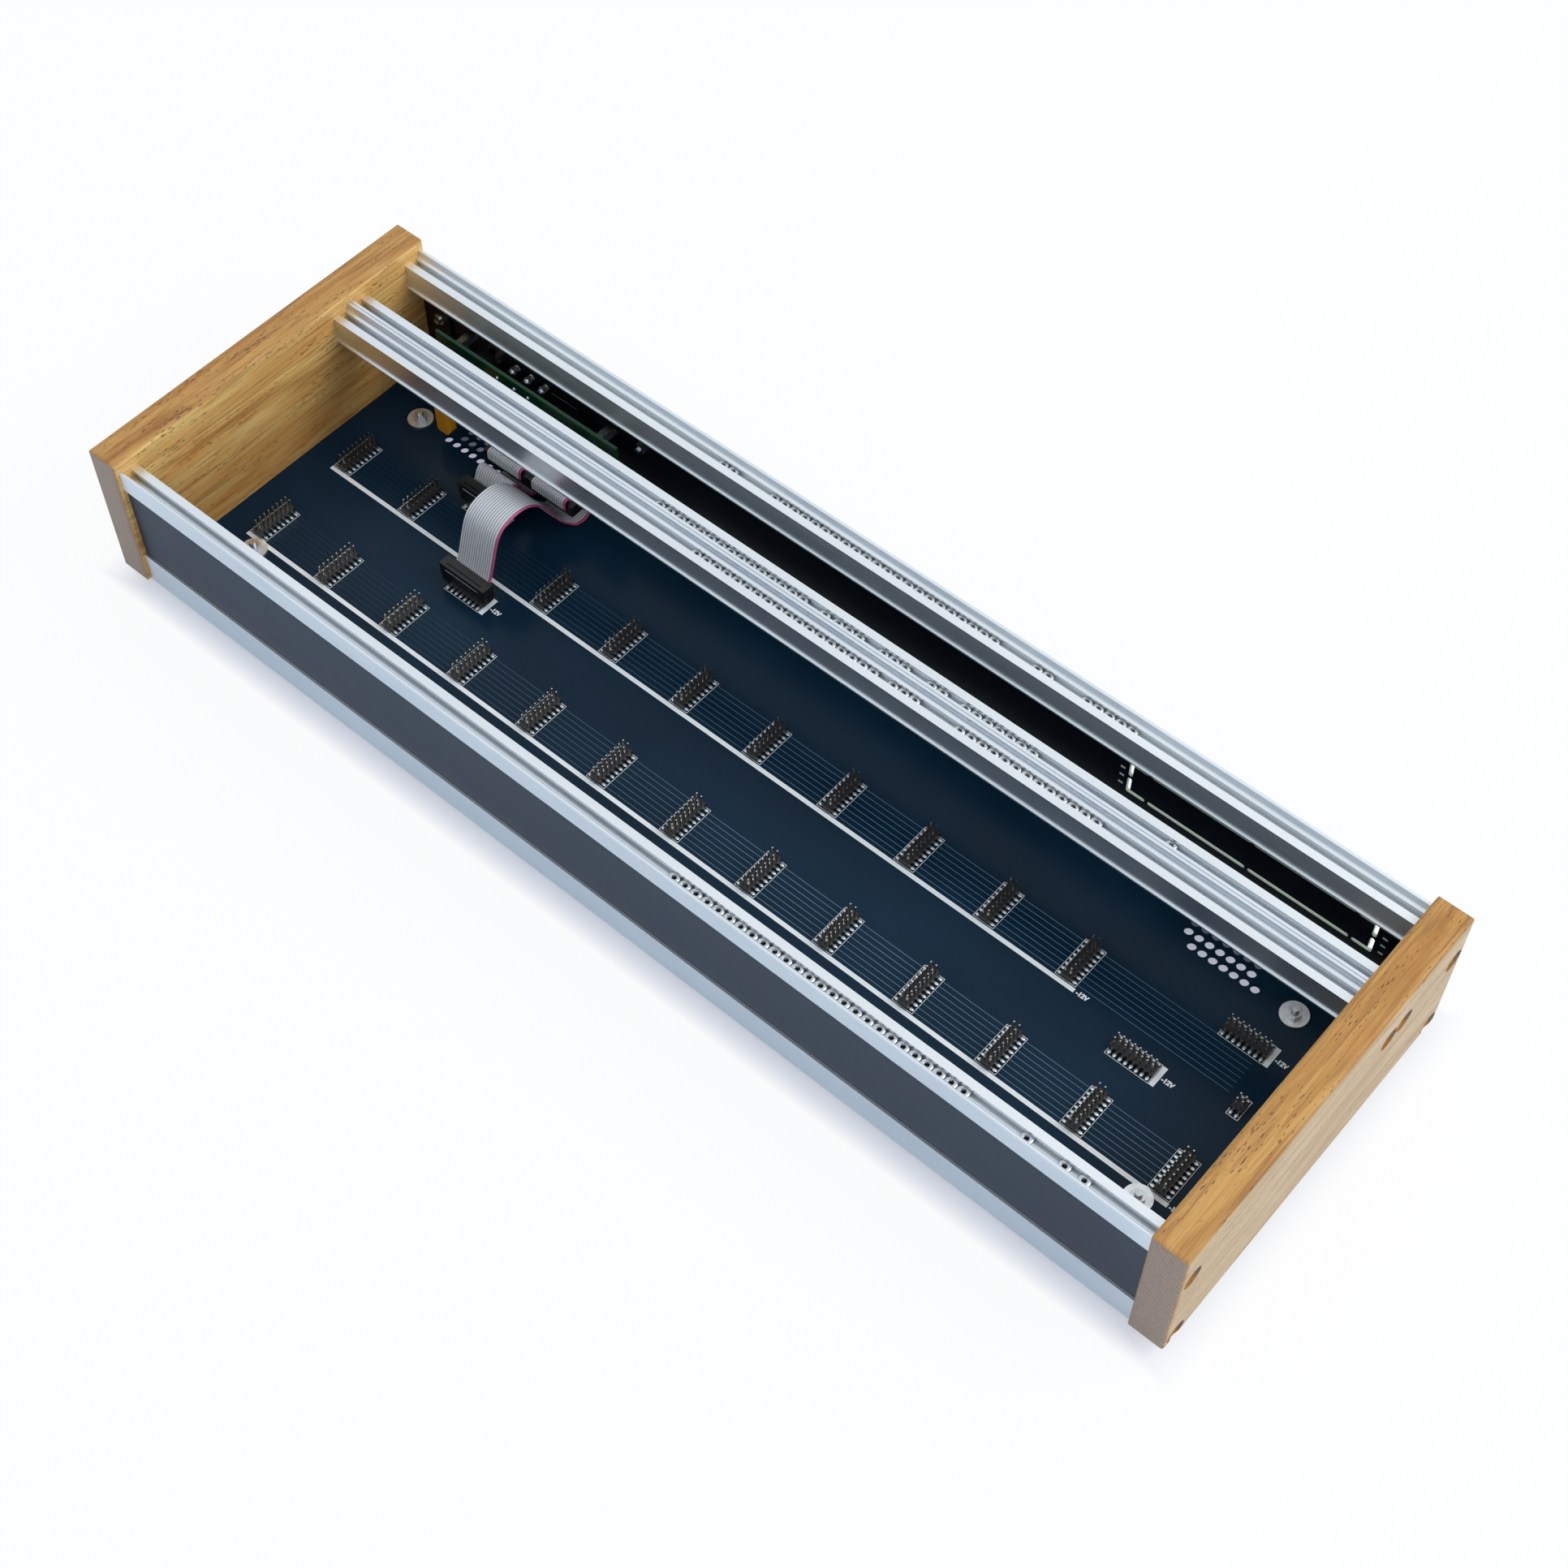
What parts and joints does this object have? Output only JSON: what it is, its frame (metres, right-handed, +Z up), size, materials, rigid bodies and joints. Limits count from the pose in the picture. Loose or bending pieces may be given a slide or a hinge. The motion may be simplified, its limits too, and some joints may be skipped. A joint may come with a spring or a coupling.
{
  "type": "subrack card cage",
  "caption": "Desktop card cage: slotted rails with sliding nuts between wooden cheeks hold a tall and a short row of plug-in modules over a bus board.",
  "frame": {"origin": "middle of the footprint, on the plane of the rubber feet", "axes": "+X along the rails to the right, +Y from the tall row to the back panel, +Z up out of the open top"},
  "size_m": [0.5604, 0.18, 0.0775],
  "materials": {
    "oiled_oak": "oiled, satin",
    "anodised_aluminium": "clear satin anodised",
    "black_front_panel": "satin solder resist",
    "black_board": "glossy solder resist",
    "black_nylon": "satin moulded",
    "tinned_pins": "bright tin",
    "plate_aluminium": "satin anodised",
    "green_board": "glossy solder resist",
    "nickel_ring": "bright nickel",
    "clear_epoxy": "clear moulded",
    "yellow_epoxy": "dipped lacquer",
    "grey_ribbon": "satin vinyl",
    "zinc_steel": "bright zinc plate",
    "black_rubber": "matte"
  },
  "bodies": {
    "root": {"left_cheek": "oiled_oak", "right_cheek": "oiled_oak", "front_upper_rail": "anodised_aluminium", "middle_front_rail": "anodised_aluminium", "middle_rear_rail": "anodised_aluminium", "rear_upper_rail": "anodised_aluminium", "front_lower_rail": "anodised_aluminium", "rear_lower_rail": "anodised_aluminium", "front_panel": "black_front_panel", "back_panel": "black_board", "bus_board": "black_board", "header_bases": "black_nylon", "header_pins": "tinned_pins", "power_plate": "plate_aluminium", "power_board": "green_board", "power_headers": "black_nylon", "power_header_pins": "tinned_pins", "power_jack": "black_nylon", "jack_ring": "nickel_ring", "indicator_leds": "clear_epoxy", "led_leads": "tinned_pins", "film_capacitor": "yellow_epoxy", "capacitor_leads": "tinned_pins", "bus_sockets": "black_nylon", "power_sockets": "black_nylon", "socket_caps": "black_nylon", "ribbon_front": "grey_ribbon", "ribbon_rear": "grey_ribbon", "board_spacers": "zinc_steel", "spacer_screws": "zinc_steel", "plate_screws": "zinc_steel", "plate_nuts": "zinc_steel", "front_rail_nuts": "zinc_steel", "middle_front_nuts": "zinc_steel", "middle_rear_nuts": "zinc_steel", "rear_rail_nuts": "zinc_steel", "cheek_screws": "zinc_steel", "foot_pads": "black_rubber", "foot_screws": "zinc_steel", "foot_washers": "zinc_steel", "foot_nuts": "zinc_steel"}
  },
  "joints": []
}
